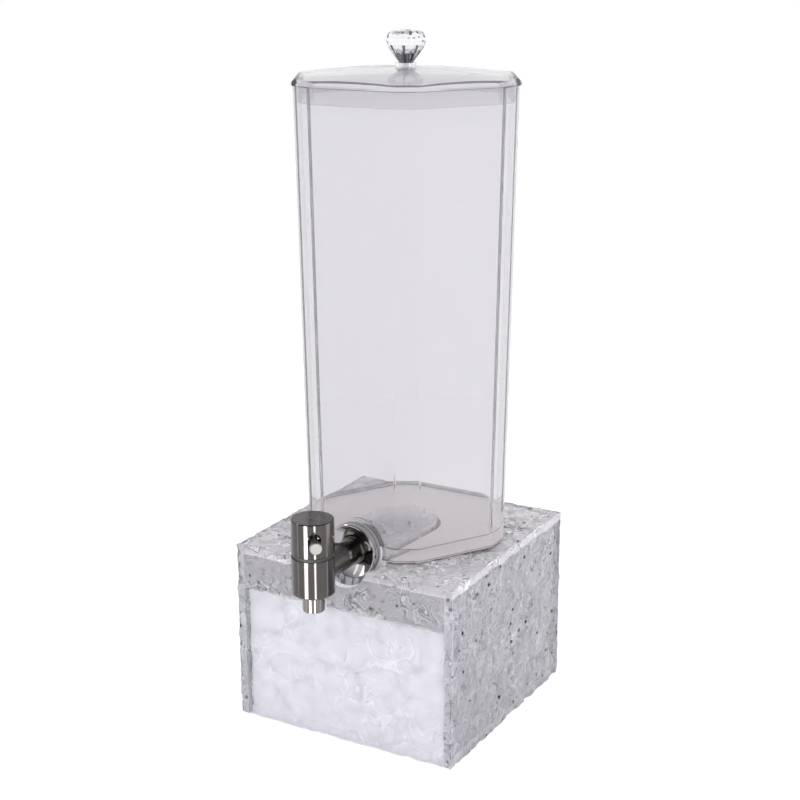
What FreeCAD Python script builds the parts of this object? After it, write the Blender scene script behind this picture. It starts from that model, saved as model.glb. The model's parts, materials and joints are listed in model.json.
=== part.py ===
"""Cold drink tower: a clear draining container with a lid and a steel tap, on a textured box base.

Frame: millimetres, +Z up, origin at the centre of the base's underside. The tap points to -Y.
The container stands loose on the base, so it lifts straight off with its tap.
"""
import FreeCAD, Part
import math
import os

V = FreeCAD.Vector
UP = V(0, 0, 1)
BACK = V(0, 1, 0)

# ---------------------------------------------------------------- driving dimensions
# box base, five bonded sheets of textured acrylic and a plain bottom
base_w = 200.0
base_d = 200.0
base_h = 150.0
panel_t = 8.0
bottom_t = 5.0
base_corner_r = 3.0
base_edge_r = 1.5
liner_t = 3.0
liner_h = 107.0
liner_side_gap = 1.0

# moulded container, measured across its flat sides, and the width of its cut corners
container_y = 6.0
container_h = 364.0
foot_af = 157.0
rim_af = 170.0
foot_corner = 20.4
rim_corner = 22.1
wall_t = 4.0
floor_t = 9.5
slot_r = 33.0
slot_y = -2.0
well_t = 3.0
well_gap = 1.0

# lid
lid_overhang = 1.75
lid_lip_t = 2.0
lid_bevel_h = 4.0
lid_bevel_in = 3.25
lid_dome_rise = 5.5
lid_t = 3.5
skirt_t = 3.0
skirt_h = 12.5
skirt_gap = 0.8

# cut knob: radius and height of each break in its outline, from the tip up
collar_r = 8.5
collar_h = 3.0
knob_tip_r = 5.0
knob_r = 15.2
knob_table_r = 10.2
pavilion_h = 13.5
girdle_h = 7.5
crown_h = 2.8
table_peak_h = 1.2
knob_sides = 8
facet_cut = 1.6
knob_screw_r = 2.4
knob_screw_grip = 9.0
knob_head_r = 4.5
knob_head_h = 3.0
knob_head_edge = 0.8
knob_cross_w = 1.0
knob_cross_h = 1.5
knob_washer_r = 7.0
knob_washer_t = 1.2

# tap, along its level axis from the container's wall outwards
tap_rise = 7.0
tap_reach = 63.9
pad_proud = 0.8
pad_rim = 1.2
outer_gasket_t = 2.5
outer_gasket_r = 21.5
flange_washer_t = 1.0
flange_washer_r = 20.9
flange_r = 22.3
flange_back_r = 21.3
flange_depth = 7.0
flange_lip_t = 1.4
flange_edge = 0.6
flange_web_t = 2.0
flange_notch_gap = 2.7
shank_r = 10.5
shank_bore_r = 6.0
thread_r = 8.0
inner_gasket_r = 14.0
inner_gasket_t = 2.5
nut_af = 30.0
nut_t = 8.0
nut_corner = 0.7
nut_chamfer = 1.0
thread_end = 2.0
shank_step_r = 11.3
shank_step_w = 1.6
shank_step_gap = 1.4
shank_stub_gap = 0.5

# tap barrel, along its upright axis
barrel_r = 16.5
body_below = 15.0
body_above = 15.5
groove_h = 2.5
groove_in = 1.0
cap_wall = 3.45
cap_above = 14.0
cap_top_t = 3.0
neck_wall = 2.0
neck_h = 7.5
body_floor_t = 4.0
nozzle_r = 8.5
nozzle_wall = 2.5
nozzle_h = 14.0
nozzle_spigot_in = 1.3
nozzle_spigot_h = 2.2
body_chamfer = 1.5
cap_chamfer = 0.6
edge_break = 0.5

# lever, turned round the barrel's axis by lever_turn from the front
lever_turn = 38.0
lever_rise = 8.5
lever_reach = 28.5
lever_neck_r = 3.0
lever_head_r = 4.7
lever_head_t = 4.0
lever_spigot_r = 1.8
lever_pivot_out = 6.0
lever_eye_w = 6.0
lever_tongue_t = 1.8
lever_tongue_w = 3.4
lever_toe_r = 1.75
slot_w = 10.0
slot_h = 14.3
pin_r = 1.5
pin_inset = 2.0
pin_sunk = 0.4

# valve
plug_gap = 3.0
plug_h = 5.0
seat_land = 2.5
plug_cone_h = 1.5
stem_r = 3.0
stem_collar_in = 1.0
stem_collar_h = 1.5
stem_head_w = 9.0
stem_head_d = 4.6
stem_head_h = 9.2
guide_h = 10.0
seal_w = 2.4
seal_h = 2.4
spring_gap = 2.0
spring_wire_r = 0.6
spring_turns = 5.0
spring_wire_sides = 6

# clearances
running = 0.05
slide_fit = 0.1
thread_fit = 0.02
hole_gap = 0.25

# ---------------------------------------------------------------- levels and stations
base_top = base_h
panel_h = base_h - panel_t
container_foot = base_top
rim_z = container_foot + container_h
floor_z = container_foot + floor_t
front_y = container_y - foot_af / 2

tap_z = base_top + tap_rise
pad_y = front_y - pad_proud
pad_in_y = front_y + wall_t + pad_proud / 2
pad_r = flange_r + pad_rim
notch_r = flange_r + flange_notch_gap
well_bottom = tap_z - pad_r - pad_rim / 2

gasket_y = pad_y - outer_gasket_t
washer_y = gasket_y - flange_washer_t
flange_lip_y = washer_y - flange_depth
shoulder_y = washer_y - flange_web_t
nut_y = pad_in_y + inner_gasket_t
thread_end_y = nut_y + nut_t + thread_end
barrel_y = pad_y - tap_reach

body_bottom = tap_z - body_below
body_top = tap_z + body_above
cap_bottom = body_top + groove_h
neck_top = body_top + neck_h
neck_r = barrel_r - cap_wall - running
cap_bore_r = neck_r + running
chamber_r = neck_r - neck_wall
chamber_floor = body_bottom + body_floor_t
nozzle_bottom = body_bottom - nozzle_h
nozzle_bore_r = nozzle_r - nozzle_wall
nozzle_spigot_r = nozzle_r - nozzle_spigot_in
lever_z = neck_top + lever_rise
cap_top = lever_z + cap_above
plug_r = chamber_r - plug_gap
plug_top = chamber_floor + plug_h
seat_hole_r = plug_r - seat_land
stem_collar_r = plug_r - stem_collar_in
collar_top = plug_top + stem_collar_h
guide_bottom = neck_top - guide_h
seal_z = guide_bottom + (guide_h - seal_h) / 2
stem_head_z = lever_z - stem_head_h / 2
spring_r = stem_r + spring_gap + spring_wire_r

lip_top = rim_z + lid_lip_t
lid_edge_z = lip_top + lid_bevel_h
lid_top = lid_edge_z + lid_dome_rise
knob_z = lid_top + collar_h


# ---------------------------------------------------------------- shapes used more than once
def cylinder(r, h, at, axis=UP):
    return Part.makeCylinder(r, h, at, axis)


def upright(r, z0, z1, x=0.0, y=0.0):
    """Round bar from height z0 to z1."""
    return cylinder(r, z1 - z0, V(x, y, z0))


def level(r, y0, y1):
    """Round bar along Y on the tap's level axis."""
    return cylinder(r, y1 - y0, V(0, y0, tap_z), BACK)


def block(x0, x1, y0, y1, z0, z1):
    return Part.makeBox(x1 - x0, y1 - y0, z1 - z0, V(x0, y0, z0))


def barrel(r, z0, z1):
    """Round bar on the tap barrel's axis."""
    return upright(r, z0, z1, 0.0, barrel_y)


def corner_inside(width, inset):
    """Width of a cut corner after all the sides have moved in by inset."""
    return width - 2 * inset * math.tan(math.radians(15))


def cut_hexagon(af, corner, z):
    """Hexagon with cut corners, flat sides to front and back; af is measured across the flats."""
    flat = af / 2
    cut = (af - corner / 2) / math.sqrt(3)
    points = []
    for i in range(12):
        here, there = (flat, cut) if i % 2 == 0 else (cut, flat)
        a = math.radians(30 * i - 90)
        b = a + math.radians(30)
        s = math.sin(b - a)
        x = (here * math.sin(b) - there * math.sin(a)) / s
        y = (there * math.cos(a) - here * math.cos(b)) / s
        points.append(V(x, container_y + y, z))
    return Part.makePolygon(points + points[:1])


def hexagon_prism(af, corner, z0, z1):
    return Part.Face(cut_hexagon(af, corner, z0)).extrude(V(0, 0, z1 - z0))


def hexagon_loft(low, high):
    """Solid between two cut hexagons, each given as (af, corner, z)."""
    return Part.makeLoft([cut_hexagon(*low), cut_hexagon(*high)], True, True)


def keyhole(inset, y_end, z0, z1):
    """The base's slot with its outline moved in by inset: round at the back, narrowing to the front."""
    r = slot_r - inset
    half = notch_r - inset
    reach = slot_y + base_d / 2
    turn = math.pi - math.atan2(half, reach) - math.acos(r / math.hypot(half, reach))
    x = r * math.sin(turn)
    y = slot_y + r * math.cos(turn)
    x_end = x + (half - x) * (y - y_end) / (y + base_d / 2)
    left, right = V(-x, y, z0), V(x, y, z0)
    end_left, end_right = V(-x_end, y_end, z0), V(x_end, y_end, z0)
    outline = Part.Wire([
        Part.Arc(left, V(0, slot_y + r, z0), right).toShape(),
        Part.makeLine(right, end_right),
        Part.makeLine(end_right, end_left),
        Part.makeLine(end_left, left),
    ])
    return Part.Face(outline).extrude(V(0, 0, z1 - z0))


def is_upright(edge):
    return abs(edge.Vertexes[0].Z - edge.Vertexes[-1].Z) > 1.0


def rim_edges(solid, z):
    """The full circles of a turned solid at height z."""
    return [e for e in solid.Edges if len(e.Vertexes) == 1 and abs(e.Vertexes[0].Z - z) < 0.01]


def revolved(points, at, axis):
    """Turned piece: points are (radius, distance along axis) round the axis through at."""
    side = V(1, 0, 0)
    path = [at + side * r + axis * d for r, d in points]
    return Part.Face(Part.makePolygon(path + path[:1])).revolve(at, axis, 360)


def lever_place(shape):
    """Bring a shape drawn along -Y through the barrel's axis round to the lever's direction."""
    shape.rotate(V(0, barrel_y, 0), UP, lever_turn)
    return shape


# ---------------------------------------------------------------- base
def front_notch():
    """Half-round way for the tap's shank and flange through the front of the base."""
    return level(notch_r, -base_d / 2 - 1, -base_d / 2 + panel_t)


def base_top_plate():
    plate = block(-base_w / 2, base_w / 2, -base_d / 2, base_d / 2, panel_h, base_top)
    plate = plate.makeFillet(base_corner_r, [e for e in plate.Edges if is_upright(e)])
    rim = [e for e in plate.Edges if min(v.Z for v in e.Vertexes) > base_top - 0.01]
    plate = plate.makeFillet(base_edge_r, rim)
    slot = keyhole(0, -base_d / 2 + panel_t, panel_h - 1, base_top + 1)
    return plate.cut(slot).cut(front_notch())


def side_panel(side):
    inner = side * (base_w / 2 - panel_t)
    outer = side * base_w / 2
    panel = block(min(inner, outer), max(inner, outer), -base_d / 2, base_d / 2, 0, panel_h)
    corners = [e for e in panel.Edges if is_upright(e) and abs(e.Vertexes[0].X - outer) < 0.01]
    return panel.makeFillet(base_corner_r, corners)


def end_panel(side):
    """Front (-1) or back (+1) panel, between the side panels."""
    inner = side * (base_d / 2 - panel_t)
    outer = side * base_d / 2
    half = base_w / 2 - panel_t
    panel = block(-half, half, min(inner, outer), max(inner, outer), 0, panel_h)
    return panel.cut(front_notch()) if side < 0 else panel


def base_bottom_plate():
    half_w = base_w / 2 - panel_t
    half_d = base_d / 2 - panel_t
    return block(-half_w, half_w, -half_d, half_d, 0, bottom_t)


def base_front_liner():
    half = base_w / 2 - panel_t - liner_side_gap
    y = -base_d / 2 + panel_t
    return block(-half, half, y, y + liner_t, bottom_t, bottom_t + liner_h)


# ---------------------------------------------------------------- container
def container_shell():
    """One moulding: tapered wall, solid floor, drain well below it, and a flat pad for the tap."""
    outer = hexagon_loft((foot_af, foot_corner, container_foot), (rim_af, rim_corner, rim_z))
    well = keyhole(well_gap, front_y, well_bottom, container_foot)
    pad = level(pad_r, pad_y, pad_in_y)
    slope = (rim_af - foot_af) / container_h
    floor_af = foot_af + slope * floor_t
    inside = hexagon_loft(
        (floor_af - 2 * wall_t, corner_inside(foot_corner, wall_t), floor_z),
        (rim_af - 2 * wall_t + slope, corner_inside(rim_corner, wall_t), rim_z + 1),
    )
    well_inside = keyhole(well_gap + well_t, front_y + wall_t, well_bottom + well_t, floor_z + 1)
    hollow = inside.fuse(well_inside)
    bore = level(thread_r + hole_gap, pad_y - 1, pad_in_y + 1)
    return outer.fuse(well).cut(hollow).fuse(pad).cut(bore).removeSplitter()


# ---------------------------------------------------------------- lid
def lid_dome(inset=0.0):
    """Ball whose cap is the top of the lid."""
    half = (rim_af + 2 * lid_overhang) / 2 - lid_bevel_in
    r = (half ** 2 + lid_dome_rise ** 2) / (2 * lid_dome_rise)
    return Part.makeSphere(r - inset, V(0, container_y, lid_top - r), V(1, 0, 0))


def lid_shell():
    edge_af = rim_af + 2 * lid_overhang
    edge_corner = corner_inside(rim_corner, -lid_overhang)
    lip = hexagon_prism(edge_af, edge_corner, rim_z, lip_top)
    climb = lid_bevel_h + lid_dome_rise
    inset = lid_bevel_in * climb / lid_bevel_h
    bevel = hexagon_loft(
        (edge_af, edge_corner, lip_top),
        (edge_af - 2 * inset, corner_inside(edge_corner, inset), lip_top + climb),
    )
    skirt_af = rim_af - 2 * wall_t - 2 * skirt_gap
    skirt_corner = corner_inside(rim_corner, wall_t + skirt_gap)
    skirt = hexagon_prism(skirt_af, skirt_corner, rim_z - skirt_h, rim_z)
    hollow_corner = corner_inside(skirt_corner, skirt_t)
    hollow = hexagon_prism(skirt_af - 2 * skirt_t, hollow_corner, rim_z - skirt_h - 1, lid_top)
    hollow = hollow.common(lid_dome(lid_t))
    hole = upright(knob_screw_r + hole_gap, rim_z, lid_top + 1, 0, container_y)
    top = lip.fuse(bevel).common(lid_dome())
    return top.fuse(skirt).cut(hollow).cut(hole).removeSplitter()


def knob_collar():
    ring = upright(collar_r, lid_top - 1, knob_z, 0, container_y)
    ring = ring.cut(upright(knob_screw_r + hole_gap, lid_top - 2, knob_z + 1, 0, container_y))
    return ring.cut(lid_dome())


def facet(gem, turn, low, high):
    """Grind one flat on the gem: its plane holds the points low and high, each (radius, height)."""
    run, climb = high[0] - low[0], high[1] - low[1]
    length = math.hypot(run, climb)
    along = V(run / length, 0, climb / length)
    outward = V(along.z, 0, -along.x)
    size = 6 * knob_r
    stone = Part.makeBox(size, size, size, V(-size / 2, -size / 2, 0))
    stone.Placement = FreeCAD.Placement(V(low[0], 0, low[1]), FreeCAD.Rotation(UP, outward))
    stone.rotate(V(0, 0, 0), UP, turn)
    return gem.cut(stone)


def lid_knob():
    """Cut knob: long lower facets, a band of small ones at the widest part, a low crown and table."""
    girdle_low = pavilion_h
    girdle_high = pavilion_h + girdle_h
    table = girdle_high + crown_h
    step = 360.0 / knob_sides
    trim = facet_cut / 4
    gem = Part.makeCylinder(knob_r, table + table_peak_h + 1, V(0, 0, 0))
    rows = [
        (0.0, 1, (knob_tip_r, 0.0), (knob_r - 2 * trim, girdle_low)),
        (step / 4, 2, (knob_r - facet_cut, girdle_low - facet_cut), (knob_r - trim, girdle_low + facet_cut)),
        (step / 4, 2, (knob_r - trim, girdle_high - facet_cut), (knob_r - facet_cut, girdle_high + 2 * trim)),
        (0.0, 1, (knob_r - 2 * trim, girdle_high), (knob_table_r, table)),
        (step / 2, 1, (knob_table_r, table), (0.0, table + table_peak_h)),
    ]
    for start, density, low, high in rows:
        for i in range(knob_sides * density):
            gem = facet(gem, start + i * step / density, low, high)
    hole = Part.makeCylinder(knob_screw_r + thread_fit, knob_screw_grip + 1, V(0, 0, -1))
    gem = gem.cut(hole)
    gem.translate(V(0, container_y, knob_z))
    return gem


def knob_washer():
    under = lid_top - lid_t
    ring = upright(knob_washer_r, under - knob_washer_t, under, 0, container_y)
    ring = ring.cut(upright(knob_screw_r + hole_gap, under - knob_washer_t - 1, under + 1, 0, container_y))
    return ring.common(lid_dome(lid_t))


def knob_screw():
    head_top = lid_top - lid_t - knob_washer_t
    head = upright(knob_head_r, head_top - knob_head_h, head_top, 0, container_y)
    head = head.makeChamfer(knob_head_edge, rim_edges(head, head_top - knob_head_h))
    reach, half = knob_head_r / 2, knob_cross_w / 2
    cross = block(-reach, reach, -half, half, 0, knob_cross_h)
    cross = cross.fuse(block(-half, half, -reach, reach, 0, knob_cross_h))
    cross.translate(V(0, container_y, head_top - knob_head_h))
    shank = upright(knob_screw_r, head_top, knob_z + knob_screw_grip - hole_gap, 0, container_y)
    return head.cut(cross).fuse(shank)


# ---------------------------------------------------------------- tap mounting
def washer(r, hole_r, y0, y1):
    return level(r, y0, y1).cut(level(hole_r, y0 - 1, y1 + 1))


def shank_flange():
    """Turned dish: its hollow face is part of a ball, its back squeezes the washer and gasket."""
    def point(r, d):
        return V(r, washer_y - d, tap_z)

    hole = thread_r + hole_gap
    lip_in = flange_r - flange_lip_t
    ball_d = (lip_in ** 2 - shank_r ** 2 + flange_depth ** 2 - flange_web_t ** 2)
    ball_d = ball_d / (2 * (flange_depth - flange_web_t))
    ball_r = math.hypot(lip_in, ball_d - flange_depth)
    middle = (math.asin(shank_r / ball_r) + math.asin(lip_in / ball_r)) / 2
    low = point(ball_r * math.sin(middle), ball_d - ball_r * math.cos(middle))
    flat = [point(hole, 0), point(hole, flange_web_t), point(shank_r, flange_web_t)]
    lip = [
        point(lip_in, flange_depth),
        point(flange_r - flange_edge, flange_depth),
        point(flange_r, flange_depth - flange_edge),
        point(flange_back_r, 0),
        flat[0],
    ]
    dish = Part.Arc(flat[-1], low, lip[0]).toShape()
    outline = Part.Wire(Part.makePolygon(flat).Edges + [dish] + Part.makePolygon(lip).Edges)
    return Part.Face(outline).revolve(V(0, 0, tap_z), BACK, 360)


def tap_shank():
    """Tube from barrel to wall: a thick stretch outside, a threaded one through the wall."""
    thick = level(shank_r, barrel_y, shoulder_y).cut(barrel(barrel_r, body_bottom, body_top + 1))
    thin = level(thread_r, barrel_y + chamber_r + shank_stub_gap, thread_end_y)
    step_y = shoulder_y - shank_step_gap
    collar = level(shank_step_r, step_y - shank_step_w, step_y)
    return thick.fuse(thin).fuse(collar).cut(level(shank_bore_r, barrel_y, thread_end_y + 1))


def lock_nut():
    hexagon = []
    for i in range(6):
        a = math.radians(60 * i)
        r = nut_af / math.sqrt(3)
        hexagon.append(V(r * math.cos(a), nut_y, tap_z + r * math.sin(a)))
    body = Part.Face(Part.makePolygon(hexagon + hexagon[:1])).extrude(V(0, nut_t, 0))
    outer = nut_af / math.sqrt(3) - nut_corner
    corner = revolved(
        [(0, 0), (outer, 0), (outer, nut_t - nut_chamfer), (outer - 2 * nut_chamfer, nut_t), (0, nut_t)],
        V(0, nut_y, tap_z),
        BACK,
    )
    return body.common(corner).cut(level(thread_r + thread_fit, nut_y - 1, nut_y + nut_t + 1))


# ---------------------------------------------------------------- tap barrel
def tap_body():
    body = barrel(barrel_r, body_bottom, body_top)
    body = body.makeChamfer(body_chamfer, rim_edges(body, body_bottom))
    body = body.fuse(barrel(neck_r, body_top, neck_top))
    body = body.cut(barrel(chamber_r, chamber_floor, neck_top + 1))
    body = body.cut(barrel(seat_hole_r, body_bottom - 1, chamber_floor + 1))
    body = body.cut(barrel(nozzle_spigot_r + thread_fit, body_bottom - 1, body_bottom + nozzle_spigot_h))
    return body.cut(level(thread_r + thread_fit, barrel_y, barrel_y + barrel_r + 1))


def outlet_nozzle():
    tube = barrel(nozzle_r, nozzle_bottom, body_bottom)
    tube = tube.makeChamfer(edge_break, rim_edges(tube, nozzle_bottom))
    tube = tube.fuse(barrel(nozzle_spigot_r, body_bottom, body_bottom + nozzle_spigot_h))
    return tube.cut(barrel(nozzle_bore_r, nozzle_bottom - 1, body_bottom + nozzle_spigot_h + 1))


def cap_seal_ring():
    ring = barrel(barrel_r - groove_in, body_top, cap_bottom)
    return ring.cut(barrel(neck_r + thread_fit, body_top - 1, cap_bottom + 1))


def lever_slot():
    """Upright oval way for the lever through the front of the cap."""
    mid = slot_h / 2 - slot_w / 2
    depth = barrel_r + 2
    start = V(0, barrel_y - cap_bore_r + cap_wall, 0)
    ends = [cylinder(slot_w / 2, depth, start + V(0, 0, lever_z + s * mid), V(0, -1, 0)) for s in (-1, 1)]
    middle = block(
        -slot_w / 2, slot_w / 2, start.y - depth, start.y, lever_z - mid, lever_z + mid
    )
    return lever_place(ends[0].fuse(ends[1]).fuse(middle))


def pivot_bar(r, right, left):
    """Bar across the cap on the lever's fulcrum, from its right end to its left one."""
    bar = cylinder(r, right + left, V(-left, barrel_y - lever_pivot_out, lever_z), V(1, 0, 0))
    return lever_place(bar)


def pin_ends():
    """How far the fulcrum pin reaches each way: flush on the right, blind on the left."""
    chord = math.sqrt(barrel_r ** 2 - lever_pivot_out ** 2)
    return chord - pin_sunk, chord - pin_inset


def tap_cap():
    cap = barrel(barrel_r, cap_bottom, cap_top)
    cap = cap.makeChamfer(cap_chamfer, rim_edges(cap, cap_bottom) + rim_edges(cap, cap_top))
    cap = cap.cut(barrel(cap_bore_r, cap_bottom - 1, cap_top - cap_top_t))
    right, left = pin_ends()
    pin_hole = pivot_bar(pin_r + thread_fit, right + 1, left + 0.1)
    return cap.cut(lever_slot()).cut(pin_hole)


def lever_pivot_pin():
    right, left = pin_ends()
    return pivot_bar(pin_r, right, left)


# ---------------------------------------------------------------- lever and valve
def tap_lever():
    """Arm with an eye on the fulcrum, a neck out through the slot and a toe that lifts the stem."""
    eye_y = barrel_y - lever_pivot_out
    head_y = barrel_y - lever_reach + lever_head_t
    neck = cylinder(lever_neck_r, eye_y - head_y, V(0, eye_y, lever_z), V(0, -1, 0))
    spigot = cylinder(lever_spigot_r, lever_head_t / 2, V(0, head_y, lever_z), V(0, -1, 0))
    eye = cylinder(lever_neck_r, lever_eye_w, V(-lever_eye_w / 2, eye_y, lever_z), V(1, 0, 0))
    half = lever_tongue_w / 2
    tongue = block(-half, half, eye_y, barrel_y, lever_z - lever_tongue_t / 2, lever_z + lever_tongue_t / 2)
    toe = cylinder(lever_toe_r, lever_tongue_w, V(-half, barrel_y, lever_z), V(1, 0, 0))
    arm = neck.fuse(spigot).fuse(eye).fuse(tongue).fuse(toe)
    return lever_place(arm).cut(pivot_bar(pin_r + running, barrel_r, barrel_r))


def lever_head():
    head_y = barrel_y - lever_reach + lever_head_t
    button = cylinder(lever_head_r, lever_head_t, V(0, head_y, lever_z), V(0, -1, 0))
    button = button.makeChamfer(edge_break, [e for e in button.Edges if len(e.Vertexes) == 1])
    hole = cylinder(lever_spigot_r + thread_fit, lever_head_t / 2, V(0, head_y, lever_z), V(0, -1, 0))
    return lever_place(button.cut(hole))


def valve_stem():
    """Rod with a collar for the spring below and a flat head with a window for the lever's toe."""
    rod = barrel(stem_r, chamber_floor + plug_h / 2, stem_head_z)
    collar = barrel(stem_collar_r, plug_top, collar_top)
    half = stem_head_d / 2
    head = block(-stem_head_w / 2, stem_head_w / 2, -half, half, stem_head_z, stem_head_z + stem_head_h)
    side = lever_tongue_w / 2 + 3 * slide_fit
    tall = lever_toe_r + 1.5 * slide_fit
    head = head.cut(block(-side, side, -half - 1, half + 1, lever_z - tall, lever_z + tall))
    head.translate(V(0, barrel_y, 0))
    return rod.fuse(collar).fuse(lever_place(head))


def valve_plug():
    """Soft stopper on the seat, coned below so that it centres itself in the outlet."""
    tip_r = seat_hole_r - plug_cone_h
    cone_z = chamber_floor - plug_cone_h
    cone = Part.makeCone(tip_r, seat_hole_r - slide_fit, plug_cone_h, V(0, barrel_y, cone_z))
    plug = barrel(plug_r, chamber_floor, plug_top).fuse(cone)
    return plug.cut(barrel(stem_r + thread_fit, chamber_floor + plug_h / 2, plug_top + 1))


def stem_guide():
    guide = barrel(chamber_r - thread_fit, guide_bottom, neck_top)
    guide = guide.cut(barrel(stem_r + running, guide_bottom - 1, neck_top + 1))
    seat = barrel(stem_r + seal_w, seal_z, seal_z + seal_h)
    return guide.cut(seat)


def stem_seal():
    """Lathe-cut rubber ring in the guide's groove."""
    outer = barrel(stem_r + seal_w - thread_fit, seal_z + thread_fit, seal_z + seal_h - thread_fit)
    return outer.cut(barrel(stem_r + running, seal_z - 1, seal_z + seal_h + 1))


def valve_spring():
    low = collar_top + spring_wire_r + thread_fit
    high = guide_bottom - spring_wire_r - thread_fit
    path = Part.makeHelix((high - low) / spring_turns, high - low, spring_r)
    section = []
    for i in range(spring_wire_sides + 1):
        a = 2 * math.pi * i / spring_wire_sides
        section.append(V(spring_r + spring_wire_r * math.cos(a), 0, spring_wire_r * math.sin(a)))
    spring = Part.Wire(path).makePipeShell([Part.makePolygon(section)], True, True)
    spring.translate(V(0, barrel_y, low))
    return spring


# ---------------------------------------------------------------- write the pieces
def nodes():
    return {
        "base_top_plate": base_top_plate(),
        "base_front_panel": end_panel(-1),
        "base_back_panel": end_panel(1),
        "base_left_panel": side_panel(-1),
        "base_right_panel": side_panel(1),
        "base_bottom_plate": base_bottom_plate(),
        "base_front_liner": base_front_liner(),
        "container_shell": container_shell(),
        "lid_shell": lid_shell(),
        "knob_collar": knob_collar(),
        "lid_knob": lid_knob(),
        "knob_washer": knob_washer(),
        "knob_screw": knob_screw(),
        "outer_gasket": washer(outer_gasket_r, thread_r + hole_gap, gasket_y, pad_y),
        "flange_washer": washer(flange_washer_r, thread_r + hole_gap, washer_y, gasket_y),
        "shank_flange": shank_flange(),
        "tap_shank": tap_shank(),
        "inner_gasket": washer(inner_gasket_r, thread_r + hole_gap, pad_in_y, nut_y),
        "lock_nut": lock_nut(),
        "tap_body": tap_body(),
        "outlet_nozzle": outlet_nozzle(),
        "cap_seal_ring": cap_seal_ring(),
        "tap_cap": tap_cap(),
        "lever_pivot_pin": lever_pivot_pin(),
        "tap_lever": tap_lever(),
        "lever_head": lever_head(),
        "valve_stem": valve_stem(),
        "valve_plug": valve_plug(),
        "stem_guide": stem_guide(),
        "stem_seal": stem_seal(),
        "valve_spring": valve_spring(),
    }


os.makedirs("parts", exist_ok=True)
for name, shape in nodes().items():
    shape.exportStep(os.path.join("parts", name + ".step"))
    box = shape.BoundBox
    size = "%.1f x %.1f x %.1f" % (box.XLength, box.YLength, box.ZLength)
    print("%-18s solids %d valid %s %s" % (name, len(shape.Solids), shape.isValid(), size))
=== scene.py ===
# %% [markdown]
# # A clear drink tower on a box of ice-textured acrylic
#
# The object has three groups: a square base whose sheets are cast with a hammered, ice-like face,
# a tall clear container with a domed lid and a cut knob, and a stainless tap with a lever.
# Nearly everything is clear, so most of the work is in how light bends and dims inside it.
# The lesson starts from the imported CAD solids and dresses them, one group at a time.

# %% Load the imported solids
import json
import math

import bmesh
import bpy
from mathutils import Matrix, Vector


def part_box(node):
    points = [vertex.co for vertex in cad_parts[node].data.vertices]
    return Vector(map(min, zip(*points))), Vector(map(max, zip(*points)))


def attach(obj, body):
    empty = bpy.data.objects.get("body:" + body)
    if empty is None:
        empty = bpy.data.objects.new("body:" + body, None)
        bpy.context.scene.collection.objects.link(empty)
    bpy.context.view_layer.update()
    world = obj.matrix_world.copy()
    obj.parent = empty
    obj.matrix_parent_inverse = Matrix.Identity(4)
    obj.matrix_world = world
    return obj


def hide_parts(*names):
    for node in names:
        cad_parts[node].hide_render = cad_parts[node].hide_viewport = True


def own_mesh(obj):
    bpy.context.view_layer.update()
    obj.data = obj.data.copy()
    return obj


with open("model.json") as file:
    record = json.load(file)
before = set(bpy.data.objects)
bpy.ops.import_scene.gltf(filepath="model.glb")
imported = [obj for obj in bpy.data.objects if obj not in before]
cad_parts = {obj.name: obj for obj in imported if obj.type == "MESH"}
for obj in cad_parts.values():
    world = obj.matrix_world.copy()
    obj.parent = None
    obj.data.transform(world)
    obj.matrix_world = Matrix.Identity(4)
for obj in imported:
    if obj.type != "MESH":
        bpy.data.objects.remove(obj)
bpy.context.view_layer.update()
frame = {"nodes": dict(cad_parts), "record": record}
nodes = frame["nodes"]
MM = 0.001
print("CAD nodes:", len(nodes))

# %% [markdown]
# ## Camera
#
# The camera stands a little to the right of the tap and looks down on the object. It is given as
# its place in metres, its heading and tilt in degrees, and a lens that takes in the whole tower.

# %% Camera
CAMERA_PLACE = (0.6087, -1.0639, 0.6176)
CAMERA_YAW, CAMERA_TILT, CAMERA_ROLL = 29.88, 16.27, 0.14
CAMERA_LENS = 70.71

camera_data = bpy.data.cameras.new("camera")
camera_data.lens = CAMERA_LENS
camera_data.sensor_width = 36.0
camera_data.clip_start, camera_data.clip_end = 0.05, 50.0
camera = bpy.data.objects.new("camera", camera_data)
camera.location = CAMERA_PLACE
turn = Matrix.Rotation(math.radians(CAMERA_YAW), 4, "Z")
tilt = Matrix.Rotation(math.radians(90 - CAMERA_TILT), 4, "X")
roll = Matrix.Rotation(math.radians(-CAMERA_ROLL), 4, "Z")
camera.rotation_euler = (turn @ tilt @ roll).to_euler()
bpy.context.scene.collection.objects.link(camera)
bpy.context.scene.camera = camera
print("Camera heading", CAMERA_YAW, "degrees, lens", CAMERA_LENS, "mm")

# %% [markdown]
# ## Three helpers
#
# Colours are written as the sRGB hex values that a paint chart would give, and one function turns
# them into the linear numbers that Blender's shaders count in. A second function adds a node to any
# tree, shader or geometry, with its settings and its links. A third starts a material from the
# Principled shader, with the plain values that hold all over the surface.

# %% Helpers for colours and nodes
def srgb(code):
    """The linear colour of an sRGB hex value such as #c0c0c0."""
    channels = [int(code[i:i + 2], 16) / 255 for i in (1, 3, 5)]
    linear = [c / 12.92 if c <= 0.04045 else ((c + 0.055) / 1.055) ** 2.4 for c in channels]
    return (*linear, 1.0)


def add(tree, kind, inputs=None, **settings):
    """Add a node, apply its settings, and fill or link its inputs by name or number."""
    node = tree.nodes.new(kind)
    for key, value in settings.items():
        setattr(node, key, value)
    for key, value in (inputs or {}).items():
        if isinstance(value, bpy.types.NodeSocket):
            tree.links.new(value, node.inputs[key])
        else:
            node.inputs[key].default_value = value
    return node


def start_material(name, values):
    """Start a material from the Principled shader, with values that hold all over the surface."""
    material = bpy.data.materials.new(name)
    material.use_nodes = True
    shader = material.node_tree.nodes["Principled BSDF"]
    for key, value in values.items():
        shader.inputs[key].default_value = value
    return material, material.node_tree, shader


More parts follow.
